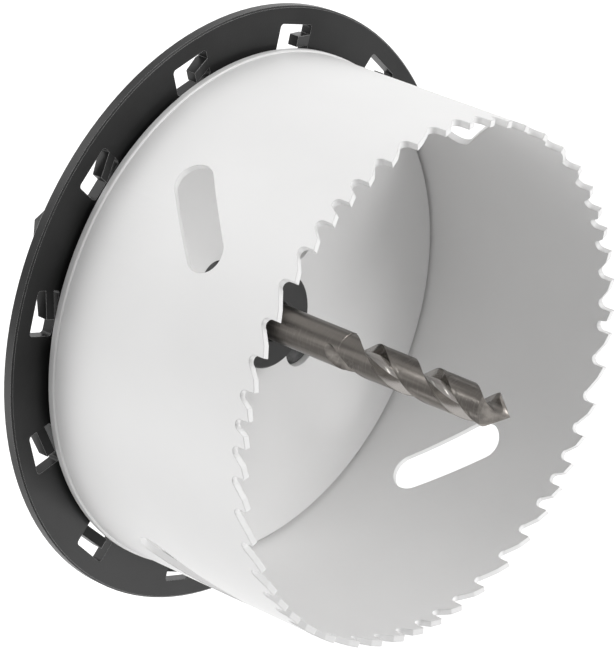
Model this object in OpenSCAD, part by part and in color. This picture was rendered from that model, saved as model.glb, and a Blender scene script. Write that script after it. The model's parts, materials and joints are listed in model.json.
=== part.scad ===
/* [Cutting tube] */
// Outside diameter of the toothed tube
tube_od = 84; // [70:0.5:110]
// Thickness of the tube's wall
tube_wall = 1.05; // [0.9:0.05:1.6]
// Greatest cutting depth, from the tooth tips to the inner face of the end plate
cut_depth = 37.7; // [34:0.1:60]

/* [Teeth] */
// Height of a tooth, from the bottom of its gullet to its tip
tooth_height = 2.45; // [2.2:0.05:3]
// Radius at the bottom of a gullet
gullet_r = 0.9; // [0.7:0.05:1]
// Forward lean of the cutting face, in degrees
rake = 0; // [-4:0.5:8]
// Fall of the land behind the tip, in degrees
relief = 20; // [10:0.5:26]
// Length of the land behind the tip
land_len = 1.8; // [0.8:0.1:1.9]
// Flat left along the tip
tip_flat = 0.15; // [0.1:0.05:0.3]
// Spacings of one group of teeth, which repeats round the tube
pitch_group = [5.7, 6.25, 5.5, 4.85, 4.25, 4.5, 5.3]; // [4:0.05:7]
// Spacings of the two odd teeth at the strip's butt weld
seam_pitch = [5.5, 3.95]; // [3.9:0.05:7]
// Turn of the butt weld's tooth from the X axis, in degrees
seam_turn = -140.1; // [-180:0.05:180]

/* [Slots in the tube] */
// Number of slots
slot_count = 4; // [2:1:6]
// Width of a slot
slot_width = 6.4; // [5:0.1:8]
// Length of a slot over its round ends
slot_len = 19.4; // [14:0.1:22]
// Slant of a slot, in degrees
slot_slant = 44; // [0:1:60]
// Distance from the tooth tips to a slot's middle
slot_depth = 22.25; // [19:0.05:24]

/* [End plate] */
// Height of the plate's spigot inside the tube
spigot_h = 2.2; // [1.5:0.1:4]
// Thickness of the flange that the tube is welded to
rim_t = 1.3; // [0.8:0.1:3]
// How far the flange stands out beyond the tube
rim_lip = 0.3; // [0.2:0.05:0.6]
// Width of the groove between the plate's inner face and the tube
groove_w = 0.7; // [0.2:0.05:0.8]
// Depth of that groove
groove_h = 0.8; // [0.4:0.1:1.3]
// Height of the boss on the plate's back, which the disc bears on
boss_h = 1; // [0.5:0.05:2]
// Diameter of that boss
boss_d = 60; // [46:1:66]
// Bevel on the flange's edges
rim_bevel = 0.2; // [0.1:0.05:0.4]

/* [Countersink disc] */
// Thickness of the disc
disc_t = 1.95; // [1.5:0.05:3]
// How far the disc stands out beyond the tube
disc_overhang = 6.8; // [6:0.1:9]
// Bevel round the disc's edges
disc_bevel = 0.25; // [0.1:0.05:0.5]
// Number of windows, each with its cutter
window_count = 12; // [6:1:14]
// Length of a window along the rim
window_len = 7.2; // [6.4:0.1:10]
// Width of a window, measured outwards
window_w = 4.6; // [4:0.1:4.8]
// How far a window starts inside the tube's outer face
window_inset = 0.8; // [0:0.05:1]
// Radius of a window's corners
window_corner = 0.6; // [0.3:0.05:1]
// Width of a raised cutter
cutter_w = 1.7; // [1.5:0.05:2.4]
// Slit between a cutter and the inner side of its window
cutter_slit = 1.3; // [0.4:0.05:1.5]
// Length of a cutter from its root to its cutting end
cutter_len = 4.15; // [3:0.05:5]
// Rise of the cutting end above the disc's face
cutter_rise = 1.3; // [0.6:0.05:2]
// Thickness of the cutting end
cutter_t = 1.85; // [1.2:0.05:2]

/* [Drive pins and collar] */
// Diameter of a drive pin
pin_d = 6.2; // [5:0.1:6.6]
// Diameter of the circle through the pins' middles
pin_circle_d = 26.2; // [25:0.1:28]
// Number of pin holes in the plate and the disc
pin_holes = 4; // [4:2:6]
// Turn of the first pin from the X axis, in degrees
pin_turn = 3.3; // [-45:0.1:45]
// How far a pin's end lies below the plate's inner face
pin_recess = 0.7; // [0.2:0.1:1.5]
// Thickness of the drive collar
collar_t = 6.5; // [5:0.1:10]
// Diameter of the drive collar
collar_d = 36; // [35:0.5:44]
// Floor left under a pin in the collar
pin_floor = 1; // [0.8:0.1:2]
// Thickness of the lock nut
nut_t = 5; // [4:0.1:8]
// Size of the lock nut across its flats
nut_af = 22; // [20:0.5:26]

/* [Arbor] */
// Diameter of the arbor's thread
thread_d = 15.88; // [14:0.02:17]
// How far the threaded nose stands out of the plate
nose_proud = 3.5; // [1:0.1:6]
// Bevel at the nose
nose_bevel = 0.4; // [0.2:0.05:1]
// Size across the flats that the collar slides on
flats_af = 13; // [12:0.1:13.8]
// Diameter of the arbor's round body
body_d = 20; // [18:0.5:24]
// Length of that body
body_len = 9.5; // [8:0.1:16]
// Size of the hexagonal shank across its flats
shank_af = 11; // [9:0.1:12]
// Length of the shank
shank_len = 18.5; // [18:0.5:40]
// Turn of a shank corner from the X axis, in degrees
shank_turn = 10; // [-30:0.5:30]
// Bevel at the shank's end and the body's edges
shank_bevel = 0.4; // [0.3:0.1:1.2]

/* [Pilot drill] */
// Diameter of the drill
drill_d = 6; // [5:0.1:6.4]
// How far the drill reaches behind the grub screw
drill_seat = 7.9; // [6:0.1:10]
// How far the drill's point stands out beyond the teeth
drill_proud = 14.8; // [10:0.1:16]
// Length of the drill's point
point_len = 3.9; // [2:0.1:5]
// Length of the flutes behind the point
flute_len = 28.95; // [20:0.05:30]
// Length of one turn of a flute
flute_lead = 24.6; // [20:0.1:40]
// Turn of the flutes at their start, in degrees
flute_turn = 53; // [0:1:180]
// Thickness of the web between the flutes
web_t = 1.6; // [1.2:0.05:2]
// Radius of a flute's section
flute_r = 1.9; // [1.6:0.05:2]
// How far the lands lie under the shank's surface
land_clear = 0.02; // [0.01:0.01:0.1]
// Depth of the flat that the grub screw bears on
drill_flat = 0.4; // [0.2:0.05:0.6]
// Diameter of the grub screw
grub_d = 5; // [4:0.5:6]
// Length of the grub screw
grub_len = 6.2; // [4:0.1:6.2]
// Size of the grub screw's key across its flats
grub_key = 2.5; // [2:0.5:2.5]

/* [Clearances] */
// Clearance round a thread
thread_clear = 0.03; // [0.01:0.01:0.1]
// Clearance round the tube's spigot
spigot_clear = 0.04; // [0.01:0.01:0.1]
// Clearance round a pin in the plate and the disc
pin_clear = 0.1; // [0.05:0.01:0.3]
// Clearance round a pressed pin
press_clear = 0.01; // [0.01:0.01:0.03]
// Clearance between the collar and the arbor
slide_clear = 0.1; // [0.05:0.01:0.3]
// Clearance round the drill in the arbor
bore_clear = 0.05; // [0.02:0.01:0.15]
// Gap between the lock nut and the arbor's body
nut_gap = 0.1; // [0.05:0.05:2]

/* [Hidden] */
$fn = 96;
// Length by which a cutting shape runs past the face that it cuts
over = 1;
// Heights above the end of the shank
body_z = shank_len;
nut_z = body_z + body_len + nut_gap;
collar_z = nut_z + nut_t;
disc_z = collar_z + collar_t;
plate_z = disc_z + disc_t;
rim_z = plate_z + boss_h;
tube_z = rim_z + rim_t;
floor_z = tube_z + spigot_h;
tooth_z = floor_z + cut_depth;
nose_z = floor_z + nose_proud;
tip_z = tooth_z + drill_proud;
grub_z = body_z + body_len / 2;
drill_z = grub_z - drill_seat;
// Radii
tube_r = tube_od / 2;
tube_ir = tube_r - tube_wall;
disc_r = tube_r + disc_overhang;
window_r = tube_r - window_inset;
pin_circle_r = pin_circle_d / 2;
thread_r = thread_d / 2;
drill_r = drill_d / 2;
// Where the gullet's round bottom lies, from the tip in front of it
rake_run = (tooth_height - gullet_r * (1 + sin(rake))) / cos(rake);
gullet_u = gullet_r * cos(rake) - rake_run * sin(rake);
gullet_z = gullet_r - tooth_height;
// Tooth angles, worked out from the spacings
function total(v, n) = n <= 0 ? 0 : v[n - 1] + total(v, n - 1);
group_len = total(pitch_group, len(pitch_group));
seam_len = total(seam_pitch, len(seam_pitch));
groups = max(1, round((PI * tube_od - seam_len) / group_len));
pitches = concat([for (g = [1:groups]) for (p = pitch_group) p], seam_pitch);
ring_len = total(pitches, len(pitches));
function tip_turn(i) = seam_turn - 360 * total(pitches, i) / ring_len;
// Point where a line from p touches the lower side of the circle of radius r round c
function touch(p, c, r) =
    let (d = norm(p - c), a = atan2(p[1] - c[1], p[0] - c[0]) - acos(r / d))
    c + r * [cos(a), sin(a)];

// Straight bar along the radius at the given turn, its section drawn in the tube's unrolled face
module radial_bar(turn, from, to) {
    rotate([0, 0, turn]) translate([from, 0, 0]) rotate([90, 0, 90])
        linear_extrude(to - from) children();
}

// Gullet between the tip at turn_a and the next tip, clockwise, at turn_b
module gullet(turn_a, turn_b, pitch) {
    reach = gullet_r / 2;
    face = [sin(rake), cos(rake)];
    land = [cos(relief), sin(relief)];
    tip_back = [-tip_flat, 0];
    land_end = tip_back - land_len * land;
    land_high = tip_back + land * reach;
    centre_a = [gullet_u - pitch, gullet_z];
    radial_bar(turn_b, tube_ir - over, tube_r + over) translate([0, tooth_z]) {
        translate([gullet_u, gullet_z]) circle(gullet_r);
        polygon([over * face, -rake_run * face, [gullet_u, gullet_z], [gullet_u + reach, gullet_z],
                 [gullet_u + reach, over]]);
    }
    radial_bar(turn_a, tube_ir - over, tube_r + over) translate([0, tooth_z])
        polygon([land_high, land_end, touch(land_end, centre_a, gullet_r), centre_a,
                 centre_a - [reach, 0], [centre_a[0] - reach, land_high[1]]]);
}

// Toothed strip, rolled and butt welded, with slots that let out the chips and the core
module saw_tube() {
    color("whitesmoke") difference() {
        translate([0, 0, tube_z]) cylinder(h = tooth_z - tube_z, r = tube_r);
        translate([0, 0, tube_z - over]) cylinder(h = tooth_z - tube_z + 2 * over, r = tube_ir);
        for (i = [0:len(pitches) - 1]) gullet(tip_turn(i), tip_turn(i + 1), pitches[i]);
        for (i = [0:slot_count - 1]) radial_bar(360 * i / slot_count, tube_ir - over, tube_r + over)
            translate([0, tooth_z - slot_depth]) rotate(slot_slant) slot_section();
    }
}

// Bar with round ends
module slot_section() {
    run = slot_len - slot_width;
    square([run, slot_width], center = true);
    for (side = [-1, 1]) translate([side * run / 2, 0]) circle(slot_width / 2);
}

// Holes for drive pins, right through whatever lies between two heights
module pin_hole_set(from, to) {
    for (i = [0:pin_holes - 1]) rotate([0, 0, pin_turn + 360 * i / pin_holes])
        translate([pin_circle_r, 0, from - over])
            cylinder(h = to - from + 2 * over, r = pin_d / 2 + pin_clear);
}

// End plate: a spigot in the tube, a flange under it and a boss on the back
module base_plate() {
    bore = thread_r + thread_clear;
    spigot_r = tube_ir - spigot_clear;
    rim_r = tube_r + rim_lip;
    color("gainsboro") difference() {
        rotate_extrude() polygon([[bore, plate_z], [boss_d / 2, plate_z], [boss_d / 2 + boss_h, rim_z],
                                  [rim_r - rim_bevel, rim_z], [rim_r, rim_z + rim_bevel],
                                  [rim_r, tube_z - rim_bevel], [rim_r - rim_bevel, tube_z],
                                  [spigot_r, tube_z], [spigot_r, floor_z - groove_h],
                                  [spigot_r - groove_w, floor_z - groove_h],
                                  [spigot_r - groove_w, floor_z], [bore, floor_z]]);
        pin_hole_set(plate_z, floor_z);
    }
}

// Window with round corners, its length along the rim
module window_section() {
    straight_l = window_len - 2 * window_corner;
    straight_w = window_w - 2 * window_corner;
    square([window_w, straight_l], center = true);
    square([straight_w, window_len], center = true);
    for (x = [-1, 1]) for (y = [-1, 1])
        translate([x * straight_w / 2, y * straight_l / 2]) circle(window_corner);
}

// Raised cutter: a tongue of the disc, cut free on three sides and bent up to its cutting end
module cutter() {
    root = disc_t / 3;
    translate([window_r + cutter_slit, -window_len / 2, disc_z + disc_t]) rotate([90, 0, 90])
        linear_extrude(cutter_w)
            polygon([[-root, 0], [0, 0], [cutter_len, cutter_rise], [cutter_len, cutter_rise - cutter_t],
                     [root, -disc_t], [-root, -disc_t]]);
}

// Disc behind the cup: its cutters plane a shallow seat round the hole
module countersink_disc() {
    bore = thread_r + slide_clear;
    low = disc_z;
    high = disc_z + disc_t;
    color("dimgray") union() {
        difference() {
            rotate_extrude()
                polygon([[bore, low], [disc_r - disc_bevel, low], [disc_r, low + disc_bevel],
                         [disc_r, high - disc_bevel], [disc_r - disc_bevel, high], [bore, high]]);
            pin_hole_set(low, high);
            for (i = [0:window_count - 1]) rotate([0, 0, 360 * i / window_count])
                translate([window_r + window_w / 2, 0, low - over])
                    linear_extrude(disc_t + 2 * over) window_section();
        }
        for (i = [0:window_count - 1]) rotate([0, 0, 360 * i / window_count]) cutter();
    }
}

// Cuts that bevel the six edges at the lower end of a hexagonal bar
module hex_bevels(af, bevel) {
    for (i = [0:5]) rotate([0, 0, 60 * i + 30]) translate([af / 2 - bevel, -af, 0]) rotate([0, 45, 0])
        translate([0, 0, -over]) cube([bevel + over, 2 * af, 2 * (bevel + over)]);
}

// Hexagonal bar with bevelled edges at its lower end
module hex_bar(af, length, bevel) {
    difference() {
        cylinder(h = length, r = af / 2 / cos(30), $fn = 6);
        hex_bevels(af, bevel);
    }
}

// Arbor: hexagonal shank, round body and threaded nose, bored for the drill
module arbor_body() {
    flat_low = collar_z - over;
    flat_h = collar_t + over;
    body_r = body_d / 2;
    bore = drill_r + bore_clear;
    neck_z = body_z + body_len;
    color("dimgray") difference() {
        union() {
            rotate([0, 0, shank_turn]) hex_bar(shank_af, body_z + over, shank_bevel);
            rotate_extrude()
                polygon([[0, body_z], [body_r - shank_bevel, body_z], [body_r, body_z + shank_bevel],
                         [body_r, neck_z - shank_bevel], [body_r - shank_bevel, neck_z],
                         [thread_r, neck_z], [thread_r, nose_z - nose_bevel],
                         [thread_r - nose_bevel, nose_z], [0, nose_z]]);
        }
        rotate_extrude() polygon([[0, drill_z - over], [bore, drill_z - over], [bore, nose_z - nose_bevel],
                                  [bore + nose_bevel, nose_z], [bore + nose_bevel, nose_z + over],
                                  [0, nose_z + over]]);
        for (side = [-1, 1]) rotate([0, 0, pin_turn]) translate([-thread_r, side * thread_r - thread_r
            + side * flats_af / 2, flat_low]) cube([thread_d, thread_d, flat_h]);
        grub_place() cylinder(h = body_r + over, r = grub_d / 2 + thread_clear);
    }
}

// Puts an upright piece along the grub screw's hole, its foot on the drill's axis
module grub_place() {
    translate([0, 0, grub_z]) rotate([0, 0, shank_turn + 30]) rotate([0, 90, 0]) children();
}

// Collar that slides on the arbor's flats and carries the two drive pins
module drive_collar() {
    r = collar_d / 2;
    bevel = shank_bevel;
    color("slategray") difference() {
        rotate_extrude() polygon([[0, collar_z], [r - bevel, collar_z], [r, collar_z + bevel],
                                  [r, disc_z - bevel], [r - bevel, disc_z], [0, disc_z]]);
        rotate([0, 0, pin_turn]) translate([0, 0, collar_z - over]) linear_extrude(collar_t + 2 * over)
            intersection() {
                circle(thread_r + slide_clear);
                square([thread_d + over, flats_af + 2 * slide_clear], center = true);
            }
        for (turn = [0, 180]) rotate([0, 0, pin_turn + turn])
            translate([pin_circle_r, 0, collar_z + pin_floor])
                cylinder(h = collar_t, r = pin_d / 2 + press_clear);
    }
}

// Drive pin, pressed into the collar, with a bevelled end
module drive_pin(turn) {
    foot = collar_z + pin_floor;
    head = floor_z - pin_recess;
    r = pin_d / 2;
    bevel = nose_bevel;
    color("silver") rotate([0, 0, pin_turn + turn]) translate([pin_circle_r, 0, 0]) rotate_extrude()
        polygon([[0, foot], [r, foot], [r, head - bevel], [r - bevel, head], [0, head]]);
}

module drive_pin_1() {
    drive_pin(0);
}

module drive_pin_2() {
    drive_pin(180);
}

// Nut that locks the collar against the disc
module lock_nut() {
    color("slategray") difference() {
        translate([0, 0, nut_z]) hex_bar(nut_af, nut_t, shank_bevel);
        translate([0, 0, collar_z]) rotate([180, 0, 0]) hex_bevels(nut_af, shank_bevel);
        translate([0, 0, nut_z - over]) cylinder(h = nut_t + 2 * over, r = thread_r + thread_clear);
    }
}

// Section of the fluted part of the drill
module flute_section(steps) {
    difference() {
        circle(drill_r - land_clear, $fn = steps);
        for (side = [-1, 1]) translate([side * (web_t / 2 + flute_r), 0])
            circle(flute_r, $fn = steps * 3 / 4);
    }
}

// Twist drill with a plain shank, two right-hand flutes and a sharp point
module pilot_drill() {
    shoulder_z = tip_z - point_len;
    flute_z = shoulder_z - flute_len;
    foot_z = flute_z - over;
    fluted = tip_z - foot_z + over;
    turns = fluted / flute_lead;
    // Steps round the circle of the fluted part, which has no exact form
    steps = 24;
    color("darkgray") union() {
        difference() {
            translate([0, 0, drill_z]) cylinder(h = flute_z - drill_z, r = drill_r);
            grub_place() translate([-grub_d, -drill_r, drill_r - drill_flat])
                cube([2 * grub_d, drill_d, drill_flat + over]);
        }
        intersection() {
            translate([0, 0, foot_z]) rotate([0, 0, flute_turn])
                linear_extrude(fluted, twist = -360 * turns, slices = ceil(steps * turns), $fn = steps)
                    flute_section(steps);
            translate([0, 0, tip_z - fluted]) linear_extrude(fluted, scale = 0)
                circle(fluted * drill_r / point_len, $fn = steps);
        }
    }
}

// Screw with a hexagonal socket that holds the drill by its flat
module grub_screw() {
    socket = grub_len / 3;
    foot = drill_r - drill_flat;
    color("black") grub_place() difference() {
        translate([0, 0, foot]) cylinder(h = grub_len, r = grub_d / 2);
        translate([0, 0, foot + grub_len - socket])
            cylinder(h = socket + over, r = grub_key / 2 / cos(30), $fn = 6);
    }
}

saw_tube();
base_plate();
countersink_disc();
arbor_body();
drive_collar();
drive_pin_1();
drive_pin_2();
lock_nut();
pilot_drill();
grub_screw();
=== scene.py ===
# Hole saw: the finishes of its solids, and a pilot drill with ground flutes in place of the plain one
import json
import math

import bmesh
import bpy
import numpy as np
from mathutils import Matrix, Vector


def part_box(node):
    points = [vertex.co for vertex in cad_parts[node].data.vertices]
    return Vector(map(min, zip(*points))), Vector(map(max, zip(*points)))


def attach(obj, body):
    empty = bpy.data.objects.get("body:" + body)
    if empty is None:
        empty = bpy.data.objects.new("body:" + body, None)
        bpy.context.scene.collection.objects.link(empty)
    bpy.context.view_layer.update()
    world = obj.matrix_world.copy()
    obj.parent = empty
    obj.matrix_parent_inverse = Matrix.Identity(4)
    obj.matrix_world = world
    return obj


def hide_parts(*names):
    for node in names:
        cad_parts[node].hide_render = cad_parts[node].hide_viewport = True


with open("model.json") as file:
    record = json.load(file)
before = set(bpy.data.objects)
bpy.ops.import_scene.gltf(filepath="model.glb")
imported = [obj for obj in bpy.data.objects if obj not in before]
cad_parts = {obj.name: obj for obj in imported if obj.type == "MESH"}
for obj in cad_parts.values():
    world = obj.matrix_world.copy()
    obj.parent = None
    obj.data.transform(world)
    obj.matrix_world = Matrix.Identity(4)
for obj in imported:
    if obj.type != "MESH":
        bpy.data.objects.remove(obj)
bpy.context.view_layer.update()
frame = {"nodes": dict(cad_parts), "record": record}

MM = 0.001

# Places on the saw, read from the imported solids
CUP_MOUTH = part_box("saw_tube")[1].z
PLATE_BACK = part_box("base_plate")[0].z
DRILL_LOW, DRILL_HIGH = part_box("pilot_drill")
COLLAR_LOW, COLLAR_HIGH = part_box("drive_collar")

# Arbor: the thread on its nose and the knurl on its collar, which start a little inside their rims
NOSE_R = 15.88 * MM / 2
THREAD_PITCH = 25.4 * MM / 18
THREAD_DEPTH = 0.5 * MM
THREAD_INSET = 0.3 * MM
KNURL_WAVES = 70
KNURL_PITCH = 1.6 * MM
KNURL_DEPTH = 0.35 * MM
KNURL_INSET = 0.2 * MM
KNURL_GAP = 0.9 * MM

# Pilot drill, along its axis
POINT_LEN = 3.9 * MM
FLUTE_LEN = 28.95 * MM
RUN_IN = 2.6 * MM
RUN_OUT = 4.5 * MM
TIP = DRILL_HIGH.z
SHOULDER = TIP - POINT_LEN
BODY_START = SHOULDER - FLUTE_LEN
FLUTE_START = BODY_START - RUN_IN

# Pilot drill, across its axis
DRILL_R = DRILL_HIGH.x
BODY_STEP = 0.06 * MM
BODY_R = DRILL_R - BODY_STEP
BODY_CLEARANCE = 0.04 * MM
TAIL_BEVEL = 0.5 * MM
SHANK_BEVEL = 0.05 * MM
WEB = 1.6 * MM
FLUTE_R = 1.9 * MM
FLUTE_CENTRE = WEB / 2 + FLUTE_R
FLUTE_DEPTH = BODY_R + FLUTE_R - FLUTE_CENTRE
WHEEL_R = (RUN_OUT**2 + FLUTE_DEPTH**2) / (2 * FLUTE_DEPTH)

# Pilot drill, round its axis
FLUTE_LEAD = 24.6 * MM
FLUTE_TURN = math.radians(67.6)
MARGIN_TURN = math.radians(10)
STEP_TURN = math.radians(4)

# Ground point: each flank falls away behind its lip by a share of the point's length, at a rate over half a
# turn, and ends in the flute just before the next lip
FLANK_RELIEF = 0.16
FLANK_RATE = 1.6
FLANK_END = 0.97

# How finely the drill is made, and how far its parts pass into or over each other before they are combined
BODY_RINGS = 330
FLUTE_POINTS = 28
LAND_POINTS = 26
POINT_STEPS = 96
SHANK_STEPS = 108
CUTTER_RINGS = 30
CUTTER_STEPS = 40
BODY_OVERLAP = 0.3 * MM
TIP_SPARE = 1 * MM
POINT_OVERLAP = 2 * MM
POINT_SPARE = 0.4 * MM
CUTTER_BELOW = 0.6 * MM
CUTTER_ABOVE = 2 * MM
WELD = 0.002 * MM
SHARP_TURN = math.radians(28)

# Where the flutes are painted bright, a ground finish with a painted highlight: inside a radius, from past
# the body's start to just behind the shoulder
BRIGHT_R = 2.8 * MM
BRIGHT_START = 2 * MM
BRIGHT_START_BLUR = 4 * MM
BRIGHT_STOP = 1.1 * MM
BRIGHT_STOP_BLUR = 0.6 * MM

# Finishes: the soft edge where a thread, a knurl or a bright flute starts, the lathe's rings as a share of
# the thread's or knurl's depth, and the rays that round an edge
MASK_BLUR = 0.1 * MM
LATHE_SHARE = 0.02
BEVEL_SAMPLES = 6

# Camera, as a place round the point that it looks at
CAMERA_AIM = Vector((-0.142, -1.412, 55.595)) * MM
CAMERA_REACH = 700 * MM
CAMERA_TURN = math.radians(13.926)
CAMERA_RISE = math.radians(38.394)
CAMERA_ROLL = math.radians(112.203)
CAMERA_NEAR = 10 * MM
CAMERA_FAR = 20
SENSOR = 36
LENS = 248.68

# Stage: each lamp has its turn about Z and its rise, in degrees, and its power
FLOOR_DROP = 800 * MM
FLOOR_SIZE = 12
FLOOR_GRAIN = 300 * MM
FLOOR_TONES = (0.80, 0.82)
FLOOR_GLOW = 0.66
LAMP_AIM = Vector((0, 0, CUP_MOUTH * 0.75))
LAMP_REACH = 1.1
LAMP_SIZE = 0.8
LAMPS = {
    "over_the_mouth": (-76, 47, 7.6),
    "under_front": (-15, -28, 5.6),
    "under_side": (75, -28, 4.4),
    "side": (120, -10, 2.3),
    "behind": (160, 35, 6.5),
}
WORLD_LIGHT = 0.45
WHITE = (1, 1, 1, 1)


class Shade:
    """A value in a shader tree, on which Python's operators add Math nodes."""

    def __init__(self, tree, socket):
        self.tree = tree
        self.socket = socket

    def __add__(self, other):
        return self.tree.math("ADD", self, other)

    def __radd__(self, other):
        return self.tree.math("ADD", other, self)

    def __sub__(self, other):
        return self.tree.math("SUBTRACT", self, other)

    def __rsub__(self, other):
        return self.tree.math("SUBTRACT", other, self)

    def __mul__(self, other):
        return self.tree.math("MULTIPLY", self, other)

    def __rmul__(self, other):
        return self.tree.math("MULTIPLY", other, self)

    def __truediv__(self, other):
        return self.tree.math("DIVIDE", self, other)

    def __rtruediv__(self, other):
        return self.tree.math("DIVIDE", other, self)

    def __pow__(self, other):
        return self.tree.math("POWER", self, other)

    def __rpow__(self, other):
        return self.tree.math("POWER", other, self)

    def above(self, edge, blur):
        """0 below the edge and 1 above it, with a soft step blur wide."""
        ramp = {"interpolation_type": "SMOOTHSTEP", "clamp": True}
        sockets = {"Value": self, "From Min": edge - blur / 2, "From Max": edge + blur / 2}
        return self.tree.node("ShaderNodeMapRange", ramp, sockets)

    def wave(self):
        return self.tree.math("SINE", self)

    def saw(self):
        """What is left over a whole number."""
        return self.tree.math("FRACT", self)

    def size(self):
        return self.tree.math("ABSOLUTE", self)


def find(sockets, key):
    """The socket at this place in the list, or the one with this name or identifier."""
    if isinstance(key, int):
        return sockets[key]
    for socket in sockets:
        if key in (socket.identifier, socket.name):
            return socket
    raise KeyError(key)


class Tree:
    """The node tree of a material or of the world."""

    def __init__(self, owner):
        owner.use_nodes = True
        self.nodes = owner.node_tree.nodes
        self.links = owner.node_tree.links
        self.nodes.clear()

    def node(self, kind, settings=None, sockets=None, out=0):
        """Adds a node, sets its settings, then its sockets, and returns one of its outputs, if any."""
        made = self.nodes.new(kind)
        for name, value in (settings or {}).items():
            setattr(made, name, value)
        for key, value in (sockets or {}).items():
            socket = find(made.inputs, key)
            if isinstance(value, Shade):
                self.links.new(value.socket, socket)
            else:
                socket.default_value = value
        return Shade(self, find(made.outputs, out)) if len(made.outputs) else None

    def math(self, operation, *values):
        """What a Math node makes of one or two values."""
        return self.node("ShaderNodeMath", {"operation": operation}, dict(enumerate(values)))

    def mix(self, share, first, second):
        """A colour between two colours."""
        sockets = {"Factor_Float": share, "A_Color": first, "B_Color": second}
        return self.node("ShaderNodeMix", {"data_type": "RGBA"}, sockets, "Result_Color")

    def place(self):
        """A point of the surface, in the saw's own frame."""
        return self.node("ShaderNodeTexCoord", out="Object")

    def parts(self, vector):
        return [self.node("ShaderNodeSeparateXYZ", sockets={"Vector": vector}, out=i) for i in range(3)]

    def scaled(self, vector, factors):
        return self.node("ShaderNodeVectorMath", {"operation": "MULTIPLY"}, {0: vector, 1: factors})

    def noise(self, vector, grain, detail=2, roughness=0.5):
        """Noise whose features are about one grain wide."""
        sockets = {"Vector": vector, "Scale": 1 / grain, "Detail": detail, "Roughness": roughness}
        return self.node("ShaderNodeTexNoise", sockets=sockets)

    def rounded(self, radius):
        """Normals as if the edges were rounded."""
        return self.node("ShaderNodeBevel", {"samples": BEVEL_SAMPLES}, {"Radius": radius})

    # On the cup paint and the disc, this edge mask carries a painted highlight in the base colour.
    def wear_and_highlight_edges(self, radius, sharpness):
        """Rounded normals, and a mask: 1 on the edges that they turn most, 0 on open faces."""
        rounded = self.rounded(radius)
        normals = {0: rounded, 1: self.node("ShaderNodeNewGeometry", out="Normal")}
        alike = self.node("ShaderNodeVectorMath", {"operation": "DOT_PRODUCT"}, normals, "Value")
        return rounded, ((1 - alike) * sharpness).above(0.5, 1)

    def bump(self, height, depth, normal):
        sockets = {"Height": height, "Distance": depth, "Strength": 1, "Normal": normal}
        return self.node("ShaderNodeBump", sockets=sockets)


def finish(name, build):
    """A material whose Principled sockets are what build(tree) returns."""
    material = bpy.data.materials.new(name)
    tree = Tree(material)
    shader = tree.node("ShaderNodeBsdfPrincipled", sockets=build(tree))
    tree.node("ShaderNodeOutputMaterial", sockets={"Surface": shader})
    return material


def grey(level, warm=0.0):
    """A grey colour, a little redder and less blue where it is warm."""
    return (level * (1 + warm), level, level * (1 - warm), 1)


def cup_paint(tree):
    """Thick off-white paint: a soft orange peel, and round edges made a little paler by a painted
    highlight.
    """
    place = tree.place()
    round_edges, edge = tree.wear_and_highlight_edges(0.22 * MM, 2)
    cloud = tree.noise(place, 24 * MM, 3)
    peel = tree.noise(place, 0.9 * MM)
    grit = tree.noise(place, 0.25 * MM, 1)
    tone = tree.mix(cloud.above(0.5, 0.5), grey(0.74, 0.004), grey(0.77, 0.004))
    return {
        # painted highlight: the edges' base colour is mixed a fifth of the way towards a paler grey
        "Base Color": tree.mix(edge * 0.2, tone, grey(0.82)),
        "Roughness": 0.40 + 0.10 * cloud + 0.06 * grit,
        "Specular IOR Level": 0.45,
        "Normal": tree.bump(peel + 0.3 * grit, 0.012 * MM, round_edges),
    }


def disc_black(tree):
    """Black coating over stamped sheet: a fine grain, and edges lightened to grey as a painted highlight.
    """
    place = tree.place()
    round_edges, edge = tree.wear_and_highlight_edges(0.13 * MM, 8)
    cloud = tree.noise(place, 14 * MM, 3)
    grain = tree.noise(place, 0.35 * MM)
    tone = tree.mix(cloud.above(0.5, 0.4), grey(0.015), grey(0.023))
    return {
        # painted highlight: the edges' base colour is mixed most of the way towards a mid grey
        "Base Color": tree.mix(edge * 0.9, tone, grey(0.40)),
        "Roughness": 0.26 + 0.08 * cloud + 0.06 * grain,
        "Specular IOR Level": 0.2,
        "Normal": tree.bump(grain, 0.010 * MM, round_edges),
    }


def off_axis(x, y):
    """How far a point of the surface is from the saw's axis."""
    return (x * x + y * y) ** 0.5


def turned(tree, place, pitch):
    """Fine rings left by a lathe, as a height."""
    x, y, z = tree.parts(place)
    rings = tree.noise(tree.scaled(place, (0.15, 0.15, 4)), pitch * 2)
    waves = ((off_axis(x, y) + z) * (2 * math.pi / pitch)).wave()
    return (rings + 0.4 * waves) * LATHE_SHARE


def arbor_black(tree):
    """Black oxide over turned steel, with the thread's turns on the nose."""
    place = tree.place()
    x, y, z = tree.parts(place)
    round_edges, edge = tree.wear_and_highlight_edges(0.15 * MM, 2.5)
    turns = z / THREAD_PITCH - tree.math("ARCTAN2", y, x) / (2 * math.pi)
    thread = (turns.saw() - 0.5).size()
    on_nose = off_axis(x, y).above(NOSE_R - THREAD_INSET, MASK_BLUR) * z.above(PLATE_BACK, MASK_BLUR)
    height = turned(tree, place, 0.2 * MM) + thread * on_nose
    cloud = tree.noise(place, 5 * MM, 3)
    tone = tree.mix(cloud, grey(0.018), grey(0.028))
    return {
        "Base Color": tree.mix(edge * 0.5, tone, grey(0.12)),
        "Metallic": 0.3,
        "Roughness": 0.38 + 0.15 * cloud,
        "Normal": tree.bump(height, THREAD_DEPTH, round_edges),
    }


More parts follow.
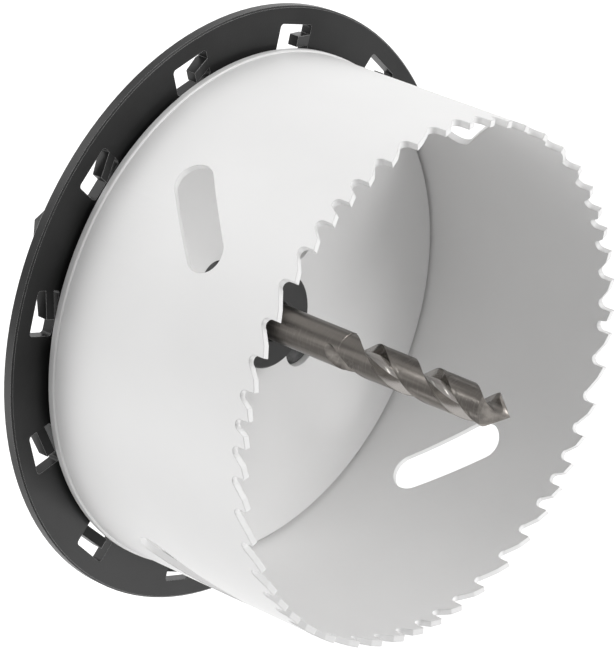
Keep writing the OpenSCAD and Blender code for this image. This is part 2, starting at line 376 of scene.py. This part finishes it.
def arbor_steel(tree):
    """Darkened turned steel, with a diamond knurl round the collar's rim."""
    place = tree.place()
    x, y, z = tree.parts(place)
    round_edges, edge = tree.wear_and_highlight_edges(0.15 * MM, 2.5)
    around = tree.math("ARCTAN2", y, x) * KNURL_WAVES
    along = z * (2 * math.pi / KNURL_PITCH)
    knurl = (around + along).wave().size() * (around - along).wave().size()
    on_rim = off_axis(x, y).above(COLLAR_HIGH.x - KNURL_INSET, MASK_BLUR)
    past_low_edge = z.above(COLLAR_LOW.z + KNURL_GAP, MASK_BLUR)
    past_high_edge = z.above(COLLAR_HIGH.z - KNURL_GAP, MASK_BLUR)
    belt = on_rim * past_low_edge * (1 - past_high_edge)
    height = turned(tree, place, 0.25 * MM) + knurl * belt
    cloud = tree.noise(place, 4 * MM, 3)
    tone = tree.mix(cloud, grey(0.13), grey(0.18))
    return {
        "Base Color": tree.mix(edge * 0.6, tone, grey(0.35)),
        "Metallic": 0.9,
        "Roughness": 0.30 + 0.15 * cloud,
        "Normal": tree.bump(height, KNURL_DEPTH, round_edges),
    }


def pin_steel(tree):
    """Blackened and mottled steel of the pins, with paler edges."""
    place = tree.place()
    round_edges, edge = tree.wear_and_highlight_edges(0.15 * MM, 2.5)
    cloud = tree.noise(place, 1.1 * MM, 4, 0.65)
    tone = tree.mix(cloud.above(0.5, 0.4), grey(0.05), grey(0.10))
    return {
        "Base Color": tree.mix(edge * 0.6, tone, grey(0.20)),
        "Metallic": 0.5,
        "Roughness": 0.42 + 0.16 * cloud,
        "Normal": tree.bump(cloud, 0.06 * MM, round_edges),
    }


def drill_steel(tree):
    """Drill steel: a warm grey skin, streaked along and finely lined round the axis, and flutes painted
    bright, a ground finish with a painted highlight.
    """
    place = tree.place()
    x, y, z = tree.parts(place)
    behind_point = 1 - z.above(SHOULDER - BRIGHT_STOP, BRIGHT_STOP_BLUR)
    past_run_out = z.above(BODY_START + BRIGHT_START, BRIGHT_START_BLUR)
    in_flute = (1 - off_axis(x, y).above(BRIGHT_R, MASK_BLUR)) * behind_point * past_run_out
    lines = tree.noise(tree.scaled(place, (1, 1, 16)), 2.5 * MM, 3, 0.6)
    fine = tree.noise(tree.scaled(place, (1, 1, 10)), 0.5 * MM)
    drawn = tree.noise(tree.scaled(place, (1, 1, 0.05)), 1.6 * MM)
    cloud = tree.noise(place, 3 * MM, 3)
    tone = tree.mix(drawn.above(0.5, 0.3), grey(0.14, 0.08), grey(0.26, 0.08))
    skin_tone = tree.mix(lines.above(0.62, 0.2) * 0.3, tone, grey(0.36, 0.06))
    # ground finish and painted highlight: the flutes get a paler steel colour that stands in for their
    # bright reflected strip
    ground_and_highlit_flute_tone = tree.mix(cloud, grey(0.36, 0.05), grey(0.44, 0.05))
    return {
        "Base Color": tree.mix(in_flute, skin_tone, ground_and_highlit_flute_tone),
        "Metallic": 1.0,
        "Roughness": 0.22 + 0.08 * lines + 0.06 * cloud - 0.08 * in_flute,
        "Normal": tree.bump(lines * 0.5 + fine * 0.5, 0.008 * MM, tree.rounded(0.03 * MM)),
    }


def screw_black(tree):
    """Black oxide on a small screw."""
    cloud = tree.noise(tree.place(), 1.2 * MM, 3)
    return {
        "Base Color": tree.mix(cloud, grey(0.025), grey(0.045)),
        "Metallic": 0.4,
        "Roughness": 0.36 + 0.15 * cloud,
        "Normal": tree.bump(cloud, 0.02 * MM, tree.rounded(0.1 * MM)),
    }


def add_object(name, data):
    """Puts a mesh, a camera or a lamp into the scene."""
    made = bpy.data.objects.new(name, data)
    bpy.context.scene.collection.objects.link(made)
    return made


def add_mesh(name, points, faces, material):
    mesh = bpy.data.meshes.new(name)
    mesh.from_pydata([tuple(p) for p in points], [], faces)
    mesh.materials.append(material)
    mesh.validate()
    return add_object(name, mesh)


def evenly(count):
    """Angles evenly spaced once round."""
    return [2 * math.pi * k / count for k in range(count)]


def circle(radius, height, count, middle=(0, 0)):
    """Points evenly spaced on a level circle."""
    x, y = middle
    return [(x + radius * math.cos(a), y + radius * math.sin(a), height) for a in evenly(count)]


def skin(rings):
    """Points and faces of a closed skin over rings of points, each ring with as many points as the next."""
    count = len(rings[0])
    points = [p for ring in rings for p in ring]
    faces = []
    for row in range(len(rings) - 1):
        for i in range(count):
            j = (i + 1) % count
            low, high = row * count, (row + 1) * count
            faces.append((low + i, low + j, high + j, high + i))
    faces.append(tuple(reversed(range(count))))
    faces.append(tuple(range((len(rings) - 1) * count, len(rings) * count)))
    return points, faces


def flute_phase(height):
    """Angle of the first flute about the axis at a height."""
    return FLUTE_TURN + 2 * math.pi * (height - BODY_START) / FLUTE_LEAD


def flute_centre(height):
    """How far a flute's round is from the axis: where it runs out, it follows the grinding wheel's arc."""
    left = max(0.0, RUN_OUT - (height - FLUTE_START))
    return FLUTE_CENTRE + WHEEL_R - math.sqrt(WHEEL_R**2 - left**2)


def flute_edge(centre):
    """Half the angle that a flute takes up in the section, with its round this far from the axis."""
    return math.acos((BODY_R**2 + centre**2 - FLUTE_R**2) / (2 * BODY_R * centre))


def land_reach(turn, width):
    """Radius of a land at a turn from its heel, with the raised margin at its leading edge."""
    lead = width - turn
    high = BODY_R
    low = BODY_R - BODY_CLEARANCE
    if lead <= MARGIN_TURN:
        return high
    if lead >= MARGIN_TURN + STEP_TURN:
        return low
    return high + (low - high) * (lead - MARGIN_TURN) / STEP_TURN


def fluted_ring(height):
    """Points of the drill's section at a height: two flutes and two lands."""
    centre = flute_centre(height)
    half = flute_edge(centre)
    width = math.pi - 2 * half
    margin = [1 - MARGIN_TURN / width, 1 - (MARGIN_TURN + STEP_TURN) / width]
    shares = sorted(list(np.linspace(0, 1, LAND_POINTS)) + margin)
    ring = []
    for side in (0, math.pi):
        phase = flute_phase(height) + side
        for k in range(FLUTE_POINTS):
            turn = -half + 2 * half * k / FLUTE_POINTS
            reach = centre * math.cos(turn) - math.sqrt(max(FLUTE_R**2 - (centre * math.sin(turn)) ** 2, 0))
            ring.append((min(reach, BODY_R), phase + turn))
        for share in shares:
            ring.append((land_reach(share * width, width), phase + half + share * width))
    return [(r * math.cos(a), r * math.sin(a), height) for r, a in ring]


def relieved_point():
    """Solid whose top is the ground point: from each cutting lip the flank falls away towards its heel."""
    reach = DRILL_R + POINT_SPARE
    drop = reach * (POINT_LEN / DRILL_R)
    lip = flute_phase(SHOULDER) - flute_edge(FLUTE_CENTRE)
    rim = []
    for turn in evenly(POINT_STEPS):
        behind = ((lip - turn) % math.pi) / math.pi
        relief = FLANK_RELIEF * min(behind * FLANK_RATE, 1) if behind < FLANK_END else 0
        rim.append((reach * math.cos(turn), reach * math.sin(turn), TIP - drop * (1 + relief)))
    points = circle(reach, BODY_START - POINT_OVERLAP, POINT_STEPS) + rim + [(0, 0, TIP)]
    faces = [tuple(reversed(range(POINT_STEPS)))]
    for i in range(POINT_STEPS):
        j = (i + 1) % POINT_STEPS
        faces.append((i, j, POINT_STEPS + j, POINT_STEPS + i))
        faces.append((POINT_STEPS + i, POINT_STEPS + j, 2 * POINT_STEPS))
    return points, faces


def plain_shank():
    """The drill's round shank, with a bevel at its tail and a fine one where the body starts."""
    outline = [
        (DRILL_R - TAIL_BEVEL, DRILL_LOW.z),
        (DRILL_R, DRILL_LOW.z + TAIL_BEVEL),
        (DRILL_R, BODY_START - BODY_STEP),
        (DRILL_R - SHANK_BEVEL, BODY_START),
    ]
    return skin([circle(radius, height, SHANK_STEPS) for radius, height in outline])


def flute_cutter(side):
    """One flute as a solid, to cut from the shank where the flute runs out."""
    rings = []
    for height in np.linspace(FLUTE_START - CUTTER_BELOW, BODY_START + CUTTER_ABOVE, CUTTER_RINGS):
        centre = flute_centre(height)
        phase = flute_phase(height) + side
        middle = Vector((centre * math.cos(phase), centre * math.sin(phase)))
        rings.append(circle(FLUTE_R, height, CUTTER_STEPS, middle))
    return skin(rings)


def combine(piece, other, operation):
    """Booleans another solid with the piece, and deletes it."""
    step = piece.modifiers.new(operation.lower(), "BOOLEAN")
    step.operation = operation
    step.object = other
    step.solver = "EXACT"
    graph = bpy.context.evaluated_depsgraph_get()
    mesh = bpy.data.meshes.new_from_object(piece.evaluated_get(graph))
    piece.modifiers.clear()
    piece.data = mesh
    bpy.data.objects.remove(other)


def smooth(piece, sharp_turn):
    """Smooth shading, with the edges that turn by more than this kept sharp."""
    mesh = piece.data
    work = bmesh.new()
    work.from_mesh(mesh)
    bmesh.ops.remove_doubles(work, verts=work.verts, dist=WELD)
    for face in work.faces:
        face.smooth = True
    for edge in work.edges:
        edge.smooth = len(edge.link_faces) == 2 and edge.calc_face_angle(0) < sharp_turn
    work.to_mesh(mesh)
    work.free()


def build_drill(material):
    """Twist drill: plain shank, two right-hand flutes with margins, and a ground point."""
    heights = np.linspace(BODY_START - BODY_OVERLAP, TIP + TIP_SPARE, BODY_RINGS)
    body = add_mesh("twist_drill", *skin([fluted_ring(h) for h in heights]), material)
    combine(body, add_mesh("point", *relieved_point(), material), "INTERSECT")
    shank = add_mesh("shank", *plain_shank(), material)
    for side in (0, math.pi):
        combine(shank, add_mesh("flute_cutter", *flute_cutter(side), material), "DIFFERENCE")
    combine(body, shank, "UNION")
    smooth(body, SHARP_TURN)
    return body


def dress(piece, material):
    """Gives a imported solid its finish."""
    piece.data.materials.clear()
    piece.data.materials.append(material)


def outward(turn, rise):
    """Unit vector at a turn about Z and a rise over level, both in radians."""
    return Vector((math.cos(rise) * math.cos(turn), math.cos(rise) * math.sin(turn), math.sin(rise)))


def build_camera():
    """Looks at the aim from the photograph's direction, rolled so that the saw lies as it does there."""
    away = outward(CAMERA_TURN, CAMERA_RISE)
    level = Vector((0, 0, 1)).cross(away).normalized()
    rise = away.cross(level)
    right = level * math.cos(CAMERA_ROLL) + rise * math.sin(CAMERA_ROLL)
    up = away.cross(right)
    camera = bpy.data.cameras.new("camera")
    camera.sensor_fit = "VERTICAL"
    camera.sensor_height = SENSOR
    camera.lens = LENS
    camera.clip_start = CAMERA_NEAR
    camera.clip_end = CAMERA_FAR
    holder = add_object("camera", camera)
    place = Matrix((right, up, away)).transposed().to_4x4()
    place.translation = CAMERA_AIM + away * CAMERA_REACH
    holder.matrix_world = place
    bpy.context.scene.camera = holder


def soft_light(name, turn, rise, power):
    """A large round lamp that looks at the upper part of the cup."""
    direction = outward(math.radians(turn), math.radians(rise))
    lamp = bpy.data.lights.new(name, "AREA")
    lamp.shape = "DISK"
    lamp.size = LAMP_SIZE
    lamp.energy = power
    holder = add_object(name, lamp)
    holder.location = LAMP_AIM + direction * LAMP_REACH
    holder.rotation_euler = direction.to_track_quat("Z", "Y").to_euler()


def seen(tree):
    """1 for what the camera sees straight on, in a mirror or through glass."""
    rays = ("Is Camera Ray", "Is Glossy Ray", "Is Transmission Ray")
    straight, mirrored, through = [tree.node("ShaderNodeLightPath", out=ray) for ray in rays]
    return tree.math("MAXIMUM", tree.math("MAXIMUM", straight, mirrored), through)


def build_world(strength):
    """A white studio that lights the saw with this strength, and looks full white itself."""
    world = bpy.data.worlds.new("studio")
    bpy.context.scene.world = world
    tree = Tree(world)
    level = seen(tree) * (1 - strength) + strength
    light = tree.node("ShaderNodeBackground", sockets={"Color": WHITE, "Strength": level})
    tree.node("ShaderNodeOutputWorld", sockets={"Surface": light})


def build_floor():
    """Pale floor under the shank, which keeps the saw's soft shadow."""
    material = bpy.data.materials.new("floor")
    tree = Tree(material)
    low_tone, high_tone = FLOOR_TONES
    tone = tree.mix(tree.noise(tree.place(), FLOOR_GRAIN), grey(low_tone), grey(high_tone))
    plain = tree.node("ShaderNodeBsdfDiffuse", sockets={"Color": tone})
    glow = tree.node("ShaderNodeEmission", sockets={"Color": WHITE, "Strength": FLOOR_GLOW})
    both = tree.node("ShaderNodeAddShader", sockets={0: plain, 1: glow})
    shown = tree.node("ShaderNodeMixShader", sockets={0: seen(tree), 1: plain, 2: both})
    tree.node("ShaderNodeOutputMaterial", sockets={"Surface": shown})
    half = FLOOR_SIZE / 2
    corners = [(-half, -half), (half, -half), (half, half), (-half, half)]
    floor = add_mesh("floor", [(x, y, -FLOOR_DROP) for x, y in corners], [(0, 1, 2, 3)], material)


BUILDERS = {
    "cup_paint": cup_paint,
    "disc_black": disc_black,
    "arbor_black": arbor_black,
    "arbor_steel": arbor_steel,
    "pin_steel": pin_steel,
    "drill_steel": drill_steel,
    "screw_black": screw_black,
}
FINISHES = {name: finish(name, build) for name, build in BUILDERS.items()}
for entry in frame["record"]["subparts"]:
    dress(frame["nodes"][entry["node"]], FINISHES[entry["material_slot"]])

drill = build_drill(FINISHES["drill_steel"])
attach(drill, "root")
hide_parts("pilot_drill")

build_camera()
for name, (turn, rise, power) in LAMPS.items():
    soft_light(name, turn, rise, power)
build_world(WORLD_LIGHT)
build_floor()
bpy.context.scene.view_settings.view_transform = "Standard"
